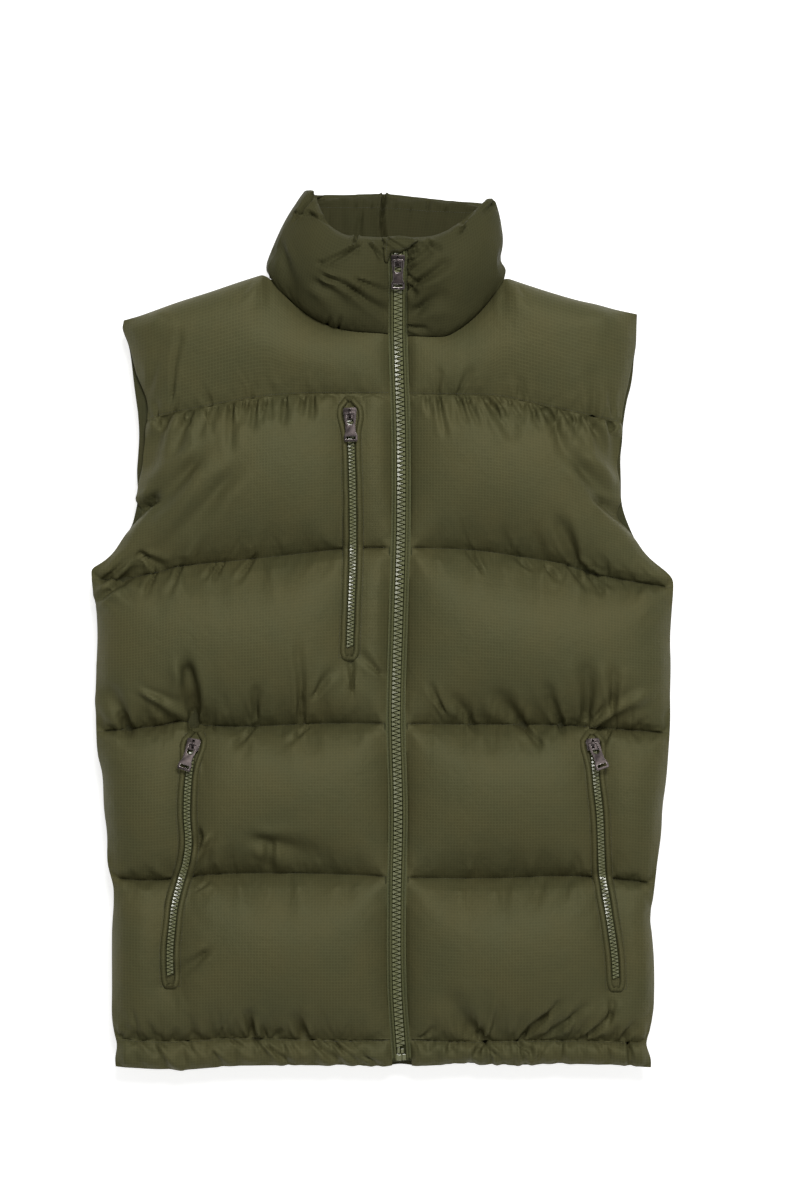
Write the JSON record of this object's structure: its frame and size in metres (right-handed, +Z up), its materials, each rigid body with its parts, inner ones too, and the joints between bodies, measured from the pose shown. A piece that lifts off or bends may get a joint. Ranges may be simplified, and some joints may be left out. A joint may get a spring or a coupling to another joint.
{
  "type": "puffer vest",
  "caption": "Quilted sleeveless puffer vest laid flat on its back, zip closed to a stand-up padded collar, with a zipped chest pocket and zipped hand pockets.",
  "frame": {"origin": "on the surface the vest lies on, below the middle of its bounding box", "axes": "+Z up from the surface, out of the front; +Y from the hem to the collar; +X towards the wearer's left side"},
  "size_m": [0.541, 0.8158, 0.0797],
  "materials": {
    "olive_shell": "satin woven nylon over light padding",
    "zip_tape": "matte woven tape",
    "zip_teeth": "moulded plastic teeth, half gloss",
    "gunmetal": "dark polished gunmetal"
  },
  "bodies": {
    "vest": {"back_panel": "olive_shell", "back_hem": "olive_shell", "front_yoke_right": "olive_shell", "front_yoke_left": "olive_shell", "front_panel_right": "olive_shell", "front_panel_left": "olive_shell", "front_hem_right": "olive_shell", "front_hem_left": "olive_shell", "collar": "olive_shell", "chin_guard": "olive_shell", "chest_welt": "olive_shell", "hand_right_welt": "olive_shell", "hand_left_welt": "olive_shell", "zip_tape_right": "zip_tape", "zip_tape_left": "zip_tape", "zip_chain": "zip_teeth", "zip_box": "zip_teeth", "chest_chain": "zip_teeth", "hand_right_chain": "zip_teeth", "hand_left_chain": "zip_teeth", "zip_slider": "gunmetal", "chest_slider": "gunmetal", "hand_right_slider": "gunmetal", "hand_left_slider": "gunmetal"},
    "zip_pull_tab": {"zip_pull": "gunmetal"},
    "chest_pull_tab": {"chest_pull": "gunmetal"},
    "hand_right_pull_tab": {"hand_right_pull": "gunmetal"},
    "hand_left_pull_tab": {"hand_left_pull": "gunmetal"}
  },
  "joints": [
    {"name": "zip_pull_swing", "type": "hinge", "parent": "vest", "child": "zip_pull_tab", "pos_m": [0.01457, 0.34121, 0.06877], "axis": [-1, 0, 0], "range_deg": [0, 150]},
    {"name": "chest_pull_swing", "type": "hinge", "parent": "vest", "child": "chest_pull_tab", "pos_m": [-0.02983, 0.20142, 0.05762], "axis": [-0.9992, -0.0392, 0], "range_deg": [0, 150]},
    {"name": "hand_right_pull_swing", "type": "hinge", "parent": "vest", "child": "hand_right_pull_tab", "pos_m": [-0.17463, -0.10407, 0.0539], "axis": [-0.9403, 0.3371, -0.0464], "range_deg": [0, 150]},
    {"name": "hand_left_pull_swing", "type": "hinge", "parent": "vest", "child": "hand_left_pull_tab", "pos_m": [0.19497, -0.10385, 0.0529], "axis": [-0.9421, -0.3275, 0.0717], "range_deg": [0, 150]}
  ]
}
